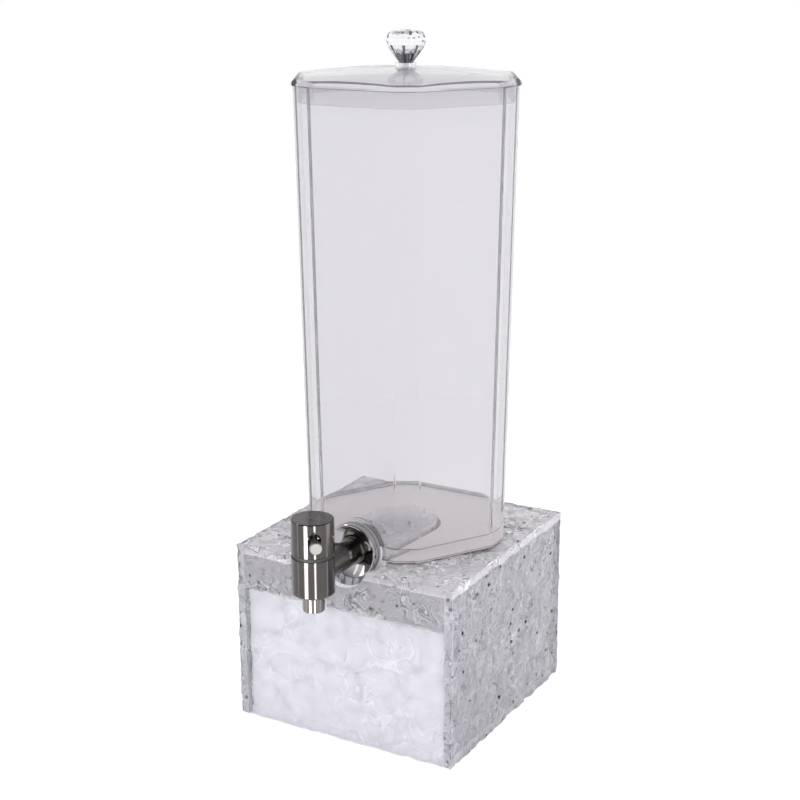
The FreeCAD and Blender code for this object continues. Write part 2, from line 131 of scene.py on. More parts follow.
print("White as linear:", srgb("#ffffff"))

# %% [markdown]
# ## Studio
#
# Clear plastic has almost no colour of its own: it shows what stands round it. The room is white
# from the floor up to a little over the horizon and dark overhead, so clear edges, cut facets and
# steel get something to draw themselves with. What the camera, a mirror or clear plastic looks at
# is that backdrop; a matt surface is lit by an even, softer dome.

# %% What is looked at
def looked_at(tree, rays):
    """1 where the camera, a mirror or clear plastic looks, 0 where a matt surface gathers light."""
    seen = rays.outputs["Is Camera Ray"]
    for kind in ("Is Glossy Ray", "Is Transmission Ray"):
        either = add(tree, "ShaderNodeMath", {0: seen, 1: rays.outputs[kind]}, operation="MAXIMUM")
        seen = either.outputs[0]
    # Light that reaches a matt surface through a clear wall comes from the dome as well.
    return add(tree, "ShaderNodeMath", {
        0: seen, 1: rays.outputs["Diffuse Depth"],
    }, operation="SUBTRACT", use_clamp=True)


print("The camera, mirrors and clear plastic look at the backdrop")

# %% World
DOME_LIGHT = 1.5
BACKDROP_TOP = 0.18, 0.85
PURE_WHITE, OVERHEAD, DOME_TINT = "#ffffff", "#5c5c62", "#fbfbff"

world = bpy.data.worlds.new("studio")
bpy.context.scene.world = world
world.use_nodes = True
tree = world.node_tree
tree.nodes.clear()
rays = add(tree, "ShaderNodeLightPath")
place = add(tree, "ShaderNodeTexCoord")
height = add(tree, "ShaderNodeSeparateXYZ", {0: place.outputs["Generated"]})
overhead = add(tree, "ShaderNodeMapRange", {
    "Value": height.outputs["Z"], "From Min": BACKDROP_TOP[0], "From Max": BACKDROP_TOP[1],
}, interpolation_type="SMOOTHSTEP")
backdrop = add(tree, "ShaderNodeMix", {
    0: overhead.outputs[0], 6: srgb(PURE_WHITE), 7: srgb(OVERHEAD),
}, data_type="RGBA")
shown = add(tree, "ShaderNodeMix", {
    0: rays.outputs["Is Camera Ray"], 6: backdrop.outputs[2], 7: srgb(PURE_WHITE),
}, data_type="RGBA")
dome = add(tree, "ShaderNodeBackground", {"Color": srgb(DOME_TINT), "Strength": DOME_LIGHT})
view = add(tree, "ShaderNodeBackground", {"Color": shown.outputs[2], "Strength": 1.0})
room = add(tree, "ShaderNodeMixShader", {
    0: looked_at(tree, rays).outputs[0], 1: dome.outputs[0], 2: view.outputs[0],
})
add(tree, "ShaderNodeOutputWorld", {"Surface": room.outputs[0]})
bpy.context.scene.view_settings.view_transform = "Standard"
print("World built, dome light", DOME_LIGHT)

# %% [markdown]
# Upright soft strips give the long, calm reflections that a tall object wants. Headings are counted
# in degrees from the tap's side, seen from above. The room's own strips stand where no flat side of
# the container mirrors them to the viewer, so that they only glint on the rough ice. A second set
# stands close round the tap and lights its metal alone, as small cards do in a studio.

# %% Lamps
# Each ring of strips has a name, a centre on the floor, and a radius. A strip in it has a heading,
# a width, the height of its top, and how brightly each spot on it shines.
ROOM, TAP = ("room", (0.0, 0.0), 0.95), ("tap", (0.0, -0.137), 0.28)
STRIPS = [
    (*ROOM, 64, 0.20, 1.15, 3.0), (*ROOM, 118, 0.20, 1.15, 3.0), (*ROOM, -62, 0.20, 1.15, 3.0),
    (*ROOM, 168, 0.16, 1.15, 2.0), (*ROOM, 206, 0.16, 0.50, 1.0),
    (*TAP, -3, 0.087, 0.32, 15.0), (*TAP, 44, 0.040, 0.32, 14.0),
    (*TAP, 122, 0.130, 0.32, 1.5), (*TAP, -50, 0.040, 0.32, 1.0),
]
TAP_METAL = [
    "shank_flange", "tap_shank", "lock_nut", "tap_body", "outlet_nozzle", "cap_seal_ring",
    "tap_cap", "lever_pivot_pin", "tap_lever", "lever_head", "valve_stem",
]
STRIP_FOOT = 0.004

tap_only = bpy.data.collections.new("tap_metal")
for name in TAP_METAL:
    tap_only.objects.link(nodes[name])


def strip_lamp(group, centre, distance, heading, width, top, radiance):
    """Upright soft strip that faces its ring's centre and lights the tap's metal alone, or all."""
    data = bpy.data.lights.new("strip_%s_%d" % (group, heading), "AREA")
    data.shape = "RECTANGLE"
    data.size, data.size_y = width, top - STRIP_FOOT
    data.energy = radiance * math.pi * data.size * data.size_y
    lamp = bpy.data.objects.new(data.name, data)
    angle = math.radians(heading)
    lamp.location = (
        centre[0] + distance * math.sin(angle), centre[1] - distance * math.cos(angle),
        (top + STRIP_FOOT) / 2,
    )
    lamp.rotation_euler = (math.radians(90), 0, angle)
    lamp.visible_camera = False
    lamp.visible_transmission = False
    if group == "tap":
        lamp.light_linking.receiver_collection = tap_only
    bpy.context.scene.collection.objects.link(lamp)


for strip in STRIPS:
    strip_lamp(*strip)
print("Lamps:", len(STRIPS))

# %% [markdown]
# The floor is matt and white. What looks at it sees it lifted towards pure white, more so with
# distance, but near the object part of its own light is kept, and with it the object's shadow.

# %% Floor
FLOOR_SIZE = 8.0
FLOOR_GAP = 0.4 * MM
FLOOR_LIFT = 0.78
SHADOW_REACH = 0.25, 0.9
FLOOR_GLOW = 1.05

mesh = bpy.data.meshes.new("floor")
half = FLOOR_SIZE / 2
corners = [(-half, -half), (half, -half), (half, half), (-half, half)]
mesh.from_pydata([(x, y, -FLOOR_GAP) for x, y in corners], [], [(0, 1, 2, 3)])
floor = bpy.data.objects.new("floor", mesh)
bpy.context.scene.collection.objects.link(floor)
material, tree, shader = start_material("matt_white_floor", {
    "Base Color": srgb("#f4f4f5"), "Roughness": 0.9, "Specular IOR Level": 0.0,
})
rays = add(tree, "ShaderNodeLightPath")
place = add(tree, "ShaderNodeTexCoord")
distance = add(tree, "ShaderNodeVectorMath", {0: place.outputs["Object"]}, operation="LENGTH")
share = add(tree, "ShaderNodeMapRange", {
    "Value": distance.outputs["Value"], "From Min": SHADOW_REACH[0],
    "From Max": SHADOW_REACH[1], "To Min": FLOOR_LIFT,
}, interpolation_type="SMOOTHSTEP")
lift = add(tree, "ShaderNodeMath", {
    0: looked_at(tree, rays).outputs[0], 1: share.outputs[0],
}, operation="MULTIPLY")
glow = add(tree, "ShaderNodeEmission", {"Color": srgb(PURE_WHITE), "Strength": FLOOR_GLOW})
mixed = add(tree, "ShaderNodeMixShader", {
    0: lift.outputs[0], 1: shader.outputs[0], 2: glow.outputs[0],
})
tree.links.new(mixed.outputs[0], tree.nodes["Material Output"].inputs["Surface"])
mesh.materials.append(material)
print("Floor", FLOOR_SIZE, "m square")

# %% [markdown]
# ## Clear plastics
#
# Cast acrylic and moulded polycarbonate both bend light strongly and take a little of it on the
# way through. Most of that is set as a faint tint that light picks up where it enters and leaves; a
# small loss inside the volume darkens only long ways, as along an edge. The surface gets what the
# mould and handling leave: faint waves, and a roughness that changes from place to place.

# %% Recipe for clear plastic
SMEAR_WIDTH = 22 * MM
SMEAR_BAND = 0.35, 0.7
INSIDE_LOSS = "#8c8498"


def clear_plastic(name, ior, tint, loss, wave, wave_depth, roughness, haze=0.0):
    """Clear plastic with a tint for each wall that light crosses and a loss for each metre inside.

    The haze is the share of light that the plastic scatters instead of letting it through.
    """
    material, tree, shader = start_material(name, {
        "Base Color": srgb(tint), "IOR": ior, "Transmission Weight": 1.0 - haze,
    })
    place = add(tree, "ShaderNodeTexCoord").outputs["Object"]
    waves = add(tree, "ShaderNodeTexNoise", {"Vector": place, "Scale": 1 / wave, "Detail": 1.0})
    bump = add(tree, "ShaderNodeBump", {
        "Height": waves.outputs[0], "Strength": 1.0, "Distance": wave_depth,
    })
    smears = add(tree, "ShaderNodeTexNoise", {
        "Vector": place, "Scale": 1 / SMEAR_WIDTH, "Detail": 3.0,
    })
    rough = add(tree, "ShaderNodeMapRange", {
        "Value": smears.outputs[0], "From Min": SMEAR_BAND[0], "From Max": SMEAR_BAND[1],
        "To Min": roughness, "To Max": 2.5 * roughness,
    })
    tree.links.new(bump.outputs[0], shader.inputs["Normal"])
    tree.links.new(rough.outputs[0], shader.inputs["Roughness"])
    absorb = add(tree, "ShaderNodeVolumeAbsorption", {"Color": srgb(INSIDE_LOSS), "Density": loss})
    tree.links.new(absorb.outputs[0], tree.nodes["Material Output"].inputs["Volume"])
    return material


print("Smears of handling are", SMEAR_WIDTH / MM, "mm wide")

# %% [markdown]
# The real index of polycarbonate is 1.58 and that of acrylic 1.49. With these, light that is caught
# inside a thin wall is followed only so far and ends in a black line. So the large walls get a
# lower index, which lets the light out again, and the container and the lid also a little haze,
# which fills the rest with a soft grey.

# %% Clear plastics
WALL_TINT, CLEAR, KNOB_TINT = "#ebeaec", "#ffffff", "#fcfcff"
ACRYLIC_INDEX = 1.49

# Moulded polycarbonate: glossy, a touch grey, with long waves where the melt cooled.
polycarbonate = clear_plastic(
    "moulded_clear_polycarbonate", 1.185, WALL_TINT, loss=0.8,
    wave=30 * MM, wave_depth=0.006 * MM, roughness=0.01, haze=0.10,
)
# The lid is thinner and clearer than the container.
lid_plastic = clear_plastic(
    "moulded_lid_polycarbonate", 1.08, WALL_TINT, loss=0.8,
    wave=30 * MM, wave_depth=0.02 * MM, roughness=0.01, haze=0.07,
)
# The floor of the container is polished, and lets the matt foot under it shine up.
floor_plastic = clear_plastic(
    "polished_container_floor", 1.175, CLEAR, loss=0.8,
    wave=30 * MM, wave_depth=0.02 * MM, roughness=0.01,
)
# Cast water-clear acrylic: it has no tint, so the white sheet behind it stays white.
ice_front = clear_plastic(
    "cast_water_clear_acrylic", 1.35, CLEAR, loss=0.5,
    wave=5 * MM, wave_depth=0.06 * MM, roughness=0.02,
)
# Sheet acrylic: flat and polished, for the knob's foot ring.
plain_acrylic = clear_plastic(
    "sheet_clear_acrylic", ACRYLIC_INDEX, "#eeeef0", loss=2.0,
    wave=40 * MM, wave_depth=0.01 * MM, roughness=0.01,
)
# Cut and polished acrylic: sharp facets without haze, which show the dark and white of the room.
crystal = clear_plastic(
    "cut_polished_acrylic", ACRYLIC_INDEX, KNOB_TINT, loss=1.0,
    wave=12 * MM, wave_depth=0.002 * MM, roughness=0.004,
)
print("Clear plastics: 6")

# %% [markdown]
# The ice sheets are cast slightly cloudy, so part of the light is scattered at their face and they
# read as an even grey from any side. Small bubbles are caught in the casting. Where one is cut by
# the surface it leaves a pit with a bright rim, its dark colour painted shade, which
# three-dimensional Voronoi cells give for free: each cell's centre is a bubble, and the face cuts a
# few of them at random depths.

# %% Curling lines
LINE_BAND = 0.43, 0.57
MILK_BAND = 0.40, 0.60


def curled_lines(tree, place, width, shaded_tone, lit_tone):
    """Noise whose middle contour is a line of painted shade on one side and painted highlight on
    the other.
    """
    ripple = add(tree, "ShaderNodeTexNoise", {
        "Vector": place, "Scale": 1 / width, "Detail": 2.0, "Distortion": 1.2,
    })
    across = add(tree, "ShaderNodeMapRange", {
        "Value": ripple.outputs[0], "From Min": LINE_BAND[0], "From Max": LINE_BAND[1],
        "To Min": -math.pi, "To Max": math.pi,
    })
    line = add(tree, "ShaderNodeMath", {0: across.outputs[0]}, operation="SINE")
    cloud = add(tree, "ShaderNodeTexNoise", {
        "Vector": place, "Scale": 0.6 / width, "Detail": 3.0,
    })
    milk = add(tree, "ShaderNodeMapRange", {
        "Value": cloud.outputs[0], "From Min": MILK_BAND[0], "From Max": MILK_BAND[1],
    })
    patchy = add(tree, "ShaderNodeMath", {
        0: line.outputs[0], 1: milk.outputs[0],
    }, operation="MULTIPLY")
    share = add(tree, "ShaderNodeMath", {
        0: patchy.outputs[0], 1: 0.5, 2: 0.5,
    }, operation="MULTIPLY_ADD")
    shade = add(tree, "ShaderNodeMix", {
        0: share.outputs[0], 6: srgb(shaded_tone), 7: srgb(lit_tone),
    }, data_type="RGBA")
    return ripple, shade, milk


print("A line fills", round(100 * (LINE_BAND[1] - LINE_BAND[0])), "percent of a noise's height")

# %% [markdown]
# The same lines are used for colour and for bump: each line is painted shade on one side and a
# painted highlight on the other, and the face rises and sinks with it. A bubble's pit is dull and
# lets nothing through, and its dark colour is painted shade.

# %% Recipe for cloudy cast acrylic
# Real bubbles are nearer to each other and half as wide; these are as coarse as they need to show.
BUBBLE_SPACING = 11.5 * MM
BUBBLE_RADIUS = 1.7 * MM
PIT_RIM = 0.75
PIT_DEPTH = 0.8 * MM
CAST_RIPPLE = 12.0 * MM
CAST_DEPTH = 1.1 * MM


def cast_ice(name, shaded_tone, lit_tone, pit_shade, clear, roughness):
    """Cloudy acrylic with creases in painted shade and highlight and cut bubbles in painted shade;
    clear is the share of light let through.
    """
    material, tree, shader = start_material(name, {"IOR": ACRYLIC_INDEX})
    place = add(tree, "ShaderNodeTexCoord").outputs["Object"]
    bubbles = add(tree, "ShaderNodeTexVoronoi", {"Vector": place, "Scale": 1 / BUBBLE_SPACING})
    edge = BUBBLE_RADIUS / BUBBLE_SPACING
    pit = add(tree, "ShaderNodeMapRange", {
        "Value": bubbles.outputs["Distance"], "From Min": PIT_RIM * edge, "From Max": edge,
        "To Min": 1.0, "To Max": 0.0,
    })
    see_through = add(tree, "ShaderNodeMapRange", {
        "Value": pit.outputs[0], "To Min": clear, "To Max": 0.0,
    })
    gloss = add(tree, "ShaderNodeMapRange", {"Value": pit.outputs[0], "To Min": 0.5, "To Max": 0.0})
    ripple, shade, milk = curled_lines(tree, place, CAST_RIPPLE, shaded_tone, lit_tone)
    colour = add(tree, "ShaderNodeMix", {
        0: pit.outputs[0], 6: shade.outputs[2], 7: srgb(pit_shade),
    }, data_type="RGBA")
    waves = add(tree, "ShaderNodeBump", {
        "Height": ripple.outputs[0], "Strength": 1.0, "Distance": CAST_DEPTH,
    })
    holes = add(tree, "ShaderNodeBump", {
        "Height": pit.outputs[0], "Strength": 1.0, "Distance": PIT_DEPTH,
        "Normal": waves.outputs[0],
    }, invert=True)
    rough = add(tree, "ShaderNodeMapRange", {
        "Value": milk.outputs[0], "To Min": roughness, "To Max": 1.8 * roughness,
    })
    tree.links.new(colour.outputs[2], shader.inputs["Base Color"])
    tree.links.new(see_through.outputs[0], shader.inputs["Transmission Weight"])
    tree.links.new(gloss.outputs[0], shader.inputs["Specular IOR Level"])
    tree.links.new(holes.outputs[0], shader.inputs["Normal"])
    tree.links.new(rough.outputs[0], shader.inputs["Roughness"])
    return material


print("A bubble every", BUBBLE_SPACING / MM, "mm")

# %% Cast acrylics
# Cloudy cast acrylic of the sides and the top: wet-looking skin over an even, milky grey.
ice_side = cast_ice(
    "cast_cloudy_acrylic_sides", "#8f8f94", "#ececf0", "#1e1e22", clear=0.72, roughness=0.06,
)
ice_top = cast_ice(
    "cast_cloudy_acrylic_top", "#8d898c", "#f6f4f6", "#77737a", clear=0.35, roughness=0.03,
)
# Above the liner the front sheet has only the box's inside behind it: its darker, stronger curls
# are painted shade and highlight.
shaded_ice_band = cast_ice(
    "cast_acrylic_front_painted_shade", "#7e7c80", "#e8e6e8", "#5e5c60", clear=0.60, roughness=0.05,
)
# Sawn edges: the blade leaves them matt, so they glow softly and let almost nothing through.
sawn_edge = cast_ice(
    "sawn_acrylic_edge", "#8a8a90", "#cacad0", "#77777c", clear=0.25, roughness=0.30,
)
# The container's foot is left matt from the mould: an even, faintly rosy white.
frosted = cast_ice(
    "frosted_container_foot", "#f8efed", "#fff7f5", "#ede4e2", clear=0.0, roughness=0.35,
)
# The drain well shows the ice of the slot round it.
well_finish = cast_ice(
    "textured_drain_well", "#d2ccce", "#ffffff", "#b9b4b6", clear=0.15, roughness=0.15,
)
print("Cast acrylics: 6")

# %% [markdown]
# A clear sheet pipes light along its inside and gives it off where it ends. So the edges of the
# front sheet and the milky strips in the bonded joints are opaque and glow a little: painted light,
# an emission of their own.

# %% Glowing sheet edge
SAW_MARK = 6 * MM

lit_edge, tree, shader = start_material("glowing_sheet_edge", {
    "Roughness": 0.4, "Emission Color": srgb("#f4f4fa"), "Emission Strength": 0.30,
})
place = add(tree, "ShaderNodeTexCoord").outputs["Object"]
# Saw marks, each with painted shade on one side and a painted highlight on the other.
_, shade, _ = curled_lines(tree, place, SAW_MARK, "#a8a8ae", "#dcdce2")
tree.links.new(shade.outputs[2], shader.inputs["Base Color"])
print("Saw marks are", SAW_MARK / MM, "mm wide")

# %% [markdown]
# ## Hammered sheets
#
# The base's sheets are cast against a beaten mould: shallow domes eight to twenty millimetres wide,
# with creases between them and finer ripples on top. A bump map would leave their outline straight
# and bend no light, so the domes are real. Geometry Nodes build one dense slab per sheet and push
# in only its points that lie on the outside of the box, by a height that depends on their place
# alone, so the domes run on unbroken round every corner.

# %% Inputs of the hammered sheet
hammer = bpy.data.node_groups.new("hammered_sheet", "GeometryNodeTree")
HAMMER_SIZES = {
    "Spacing": 1.15 * MM, "Dome Width": 15 * MM, "Dome Depth": 3.4 * MM,
    "Ripple Width": 6 * MM, "Ripple Depth": 3.4 * MM, "Skin": -0.8 * MM,
}
hammer_keys = {}


def hammer_input(name, kind):
    """Give the tree a named input and keep its identifier, by which a modifier sets it."""
    socket = hammer.interface.new_socket(name, in_out="INPUT", socket_type=kind)
    hammer_keys[name] = socket.identifier
    return socket


for name in ("Size", "Centre", "Faces"):
    hammer_input(name, "NodeSocketVector")
for name, size in HAMMER_SIZES.items():
    hammer_input(name, "NodeSocketFloat").default_value = size
hammer_input("Finish", "NodeSocketMaterial")
hammer.interface.new_socket("Geometry", in_out="OUTPUT", socket_type="NodeSocketGeometry")
given = add(hammer, "NodeGroupInput").outputs
print("Inputs:", ", ".join(hammer_keys))

# %% [markdown]
# First comes the slab: a box mesh with a vertex about every millimetre, set down where the sheet
# is. Then two textures say how deep each place is beaten: smooth Voronoi cells for the domes and
# noise for the ripples, added up.

# %% Slab and depth
steps = add(hammer, "ShaderNodeVectorMath", {
    0: given["Size"], 1: add(hammer, "ShaderNodeCombineXYZ", {
        0: given["Spacing"], 1: given["Spacing"], 2: given["Spacing"],
    }).outputs[0],
}, operation="DIVIDE")
steps = add(hammer, "ShaderNodeVectorMath", {
    0: steps.outputs[0], 1: (2.0, 2.0, 2.0),
}, operation="ADD")
counts = add(hammer, "ShaderNodeSeparateXYZ", {0: steps.outputs[0]}).outputs
slab = add(hammer, "GeometryNodeMeshCube", {
    "Size": given["Size"],
    "Vertices X": counts[0], "Vertices Y": counts[1], "Vertices Z": counts[2],
})
placed = add(hammer, "GeometryNodeSetPosition", {
    "Geometry": slab.outputs["Mesh"], "Offset": given["Centre"],
})
place = add(hammer, "GeometryNodeInputPosition").outputs[0]
per_dome = add(hammer, "ShaderNodeMath", {0: 1.0, 1: given["Dome Width"]}, operation="DIVIDE")
domes = add(hammer, "ShaderNodeTexVoronoi", {
    "Vector": place, "Smoothness": 0.3, "Scale": per_dome.outputs[0],
}, feature="SMOOTH_F1").outputs["Distance"]
per_ripple = add(hammer, "ShaderNodeMath", {0: 1.0, 1: given["Ripple Width"]}, operation="DIVIDE")
ripples = add(hammer, "ShaderNodeTexNoise", {
    "Vector": place, "Detail": 2.0, "Distortion": 0.6, "Scale": per_ripple.outputs[0],
})
crown = add(hammer, "ShaderNodeMath", {0: domes, 1: domes}, operation="MULTIPLY")
crown = add(hammer, "ShaderNodeMath", {
    0: crown.outputs[0], 1: given["Dome Depth"], 2: given["Skin"],
}, operation="MULTIPLY_ADD")
depth = add(hammer, "ShaderNodeMath", {
    0: ripples.outputs[0], 1: given["Ripple Depth"], 2: crown.outputs[0],
}, operation="MULTIPLY_ADD")
print("Dome width", HAMMER_SIZES["Dome Width"] / MM, "mm")

# %% [markdown]
# A point is pushed only along the axes on which it lies on the outside of the box. The input Faces
# holds how far out that is along x, y and z; the sign of the point's own place turns the push
# inward.

# %% Push the outside in
FACE_SNAP = 0.02 * MM
far = add(hammer, "ShaderNodeVectorMath", {0: place}, operation="ABSOLUTE")
past = add(hammer, "ShaderNodeVectorMath", {
    0: far.outputs[0], 1: given["Faces"],
}, operation="SUBTRACT")
past = add(hammer, "ShaderNodeVectorMath", {
    0: past.outputs[0], 1: (FACE_SNAP, FACE_SNAP, FACE_SNAP),
}, operation="ADD")
outside = add(hammer, "ShaderNodeVectorMath", {0: past.outputs[0]}, operation="SIGN")
outside = add(hammer, "ShaderNodeVectorMath", {
    0: outside.outputs[0], 1: (0.0, 0.0, 0.0),
}, operation="MAXIMUM")
side = add(hammer, "ShaderNodeVectorMath", {0: place}, operation="SIGN")
outward = add(hammer, "ShaderNodeVectorMath", {
    0: side.outputs[0], 1: outside.outputs[0],
}, operation="MULTIPLY")
minus = add(hammer, "ShaderNodeMath", {0: depth.outputs[0], 1: -1.0}, operation="MULTIPLY")
push = add(hammer, "ShaderNodeVectorMath", {
    0: outward.outputs[0], "Scale": minus.outputs[0],
}, operation="SCALE")
beaten = add(hammer, "GeometryNodeSetPosition", {
    "Geometry": placed.outputs[0], "Offset": push.outputs[0],
})
whole = add(hammer, "GeometryNodeRealizeInstances", {"Geometry": beaten.outputs[0]})
dressed = add(hammer, "GeometryNodeSetMaterial", {
    "Geometry": whole.outputs[0], "Material": given["Finish"],
})
add(hammer, "NodeGroupOutput", {"Geometry": dressed.outputs[0]})
print("Tree", hammer.name, "has", len(hammer.nodes), "nodes")

# %% [markdown]
# A modifier's result is turned into a plain mesh before the piece is handed to the frame. A copy of
# a CAD solid comes as loose triangles, so it is welded and its flat faces are made whole first.

# %% Helpers that bake a tree and copy a CAD solid
SHARP_ANGLE = math.radians(38)
FLAT_ANGLE = math.radians(0.5)
WELD = 0.001 * MM


def link(name, mesh):
    """Put a mesh into the scene as a piece."""
    piece = bpy.data.objects.new(name, mesh)
    bpy.context.scene.collection.objects.link(piece)
    return piece


def bake(piece):
    """Turn a piece with live modifiers into a plain mesh, smooth but for its real edges."""
    bpy.context.view_layer.update()
    evaluated = piece.evaluated_get(bpy.context.evaluated_depsgraph_get())
    final = bpy.data.meshes.new_from_object(evaluated)
    piece.modifiers.clear()
    piece.data = final
    final.name = piece.name
    final.shade_smooth()
    final.set_sharp_from_angle(angle=SHARP_ANGLE)
    return piece


def grow(name, tree, keys, values):
    """Make a piece from a Geometry Nodes tree, with its inputs given by name."""
    piece = link(name, bpy.data.meshes.new(name))
    modifier = piece.modifiers.new("grow", "NODES")
    modifier.node_group = tree
    for key, value in values.items():
        modifier[keys[key]] = value
    return bake(piece)


def welded_copy(node, name):
    """A copy of a CAD solid with its loose triangles merged and its flat faces made whole."""
    work = bmesh.new()
    work.from_mesh(nodes[node].data)
    bmesh.ops.remove_doubles(work, verts=work.verts, dist=WELD)
    bmesh.ops.dissolve_limit(work, angle_limit=FLAT_ANGLE, verts=work.verts, edges=work.edges)
    mesh = bpy.data.meshes.new(name)
    work.to_mesh(mesh)
    work.free()
    if "custom_normal" in mesh.attributes:
        mesh.attributes.remove(mesh.attributes["custom_normal"])
    return link(name, mesh)


def dress(piece, *finishes):
    """Give a piece these materials and no others."""
    piece.data.materials.clear()
    for finish in finishes:
        piece.data.materials.append(finish)


def settle(piece, body, slot, *replaced):
    """Hand a piece to the frame: its body and the solids that it stands for; the material slot is
    not used.
    """
    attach(piece, body)
    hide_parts(*replaced)
    print("%-18s %7d faces, rides on %s" % (piece.name, len(piece.data.polygons), body))


print("Edges sharper than", round(math.degrees(SHARP_ANGLE)), "degrees stay crisp")

# %% [markdown]
# Each kind of face on a sheet has a finish of its own. The broad faces are cast. The ends of the
# side sheets are sawn and matt, while the rim of the top is cast like its face. Cement leaves a
# milky strip inside the box, where the side sheets meet the front and the back. And above the liner
# that stands behind it, the front sheet gets darker, more curled colours: painted shade for the dim
# inside of the box.

# %% Which finish a face gets
SQUARE_ON, SLANTING = 0.9, 0.5  # how much of a face's normal runs along an axis
SIDE_INSIDE, GLUED_FROM = 0.0925, 0.0919  # metres from the box's middle plane, along x and y
LINER_TOP = 0.112
BROAD, SAWN, GLUED, ABOVE_LINER = range(4)


def sheet_face(face, node, thin_axis):
    """The number of the material that a face of a sheet gets."""
    if node == "base_front_panel" and face.normal.y < -SLANTING and face.center.z > LINER_TOP:
        return ABOVE_LINER
    looks_in = abs(face.normal.x) > SQUARE_ON and abs(face.center.x) < SIDE_INSIDE
    if thin_axis == 0 and looks_in and abs(face.center.y) > GLUED_FROM:
        return GLUED
    return SAWN if abs(face.normal[thin_axis]) < SLANTING else BROAD


print("The liner reaches up to", LINER_TOP / MM, "mm")

# %% [markdown]
# Bonded sheets share their solvent joint, so each one laps a hair into its neighbour and light runs
# straight on. The slab is trimmed with a copy of the CAD solid, which has the cut-outs and the
# rounded corners.

# %% The five sheets of the base
OUT, TOP = 0.1, 0.15  # how far out the beaten faces of the box are
NOT_BEATEN = 9.0
LAP = 0.04 * MM
SHEETS = [
    ("ice_top", "base_top_plate", ice_top, ice_top, (OUT, OUT, TOP)),
    ("ice_front", "base_front_panel", ice_front, lit_edge, (NOT_BEATEN, OUT, NOT_BEATEN)),
    ("ice_back", "base_back_panel", ice_side, sawn_edge, (NOT_BEATEN, OUT, NOT_BEATEN)),
    ("ice_left", "base_left_panel", ice_side, sawn_edge, (OUT, OUT, NOT_BEATEN)),
    ("ice_right", "base_right_panel", ice_side, sawn_edge, (OUT, OUT, NOT_BEATEN)),
]


def hammered_sheet(name, node, finish, edge_finish, faces):
    """Sheet in the place of its CAD solid, trimmed to its cut-outs and rounded corners."""
    low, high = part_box(node)
    lap = Vector((LAP, LAP, LAP))
    size, middle = high - low + 2 * lap, (low + high) / 2
    piece = grow(name, hammer, hammer_keys, {
        "Size": size, "Centre": middle, "Faces": faces, "Finish": finish,
    })
    trim = welded_copy(node, "trim")
    for vertex in trim.data.vertices:
        vertex.co = middle + Vector([
            (c - m) * (s + 2 * LAP) / s for c, m, s in zip(vertex.co, middle, size)
        ])
    cut = piece.modifiers.new("trim", "BOOLEAN")
    cut.operation, cut.solver, cut.object = "INTERSECT", "MANIFOLD", trim
    bake(piece)
    bpy.data.objects.remove(trim)
    dress(piece, finish, edge_finish, lit_edge, shaded_ice_band)
    thin_axis = min(range(3), key=lambda i: size[i])
    for face in piece.data.polygons:
        face.material_index = sheet_face(face, node, thin_axis)
    return piece


for sheet in SHEETS:
    settle(hammered_sheet(*sheet), "base", "ice_acrylic", sheet[1])

# %% [markdown]
# ## White liner
#
# An opal white sheet stands just behind the clear front panel and gives it the look of packed snow.
# It is plain to the touch; its soft flakes are painted light and shade, drawn by the same curling
# lines as the ice, only wider and in two whites that are close to each other.

# %% White liner
FLAKE_WIDTH = 24 * MM
FLAKE_DEPTH = 1.5 * MM
LINER_SETBACK = 0.3 * MM

opal, tree, shader = start_material("opal_white_acrylic", {"Roughness": 0.5})
place = add(tree, "ShaderNodeTexCoord").outputs["Object"]
flakes, shade, _ = curled_lines(tree, place, FLAKE_WIDTH, "#e3e2ee", "#fbfafc")
relief = add(tree, "ShaderNodeBump", {
    "Height": flakes.outputs[0], "Strength": 1.0, "Distance": FLAKE_DEPTH,
})
tree.links.new(shade.outputs[2], shader.inputs["Base Color"])
tree.links.new(relief.outputs[0], shader.inputs["Normal"])

liner = welded_copy("base_front_liner", "white_liner")
liner_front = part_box("base_front_liner")[0].y + FACE_SNAP
for vertex in liner.data.vertices:
    if vertex.co.y < liner_front:
        vertex.co.y += LINER_SETBACK
dress(liner, opal)
settle(liner, "base", "opal_sheet", "base_front_liner")

# %% [markdown]
# ## Container
#
# Moulded polycarbonate never has knife edges: the mould's corners are rounded by about half a
# millimetre. A Bevel modifier rounds only the edges that carry a bevel weight, and a small function
# picks them by angle, length and slope.

# %% Rounded corners of a moulding
CORNER_WIDTH, CORNER_STEPS = 0.45 * MM, 4
FLAT_AREA = 150 * MM * MM


def moulded(node, name, picks, finishes):
    """Copy of a CAD solid whose picked edges are rounded; picks tells how round, from 0 to 1."""
    piece = welded_copy(node, name)
    work = bmesh.new()
    work.from_mesh(piece.data)
    weights = work.edges.layers.float.new("bevel_weight_edge")
    count = 0
    for edge in work.edges:
        weight = picks(edge)
        edge[weights] = weight
        count += weight > 0
    work.to_mesh(piece.data)
    work.free()
    bevel = piece.modifiers.new("corners", "BEVEL")
    bevel.limit_method = "WEIGHT"
    bevel.width, bevel.segments = CORNER_WIDTH, CORNER_STEPS
    bake(piece)
    for face in piece.data.polygons:
        face.use_smooth = face.area < FLAT_AREA
    dress(piece, *finishes)
    print(name, "edges rounded:", count)
    return piece


print("Mould corners:", CORNER_WIDTH / MM, "mm")

# %% Edges of the container that are rounded
FOOT, FLOOR_TOP, AXIS_Y = 0.150, 0.1595, 0.006
FOOT_SNAP = 0.1 * MM
CREASE = math.radians(20)
UPRIGHT_RISE, RIM_LENGTH = 0.3, 15 * MM
RIM_ROUND = 0.8


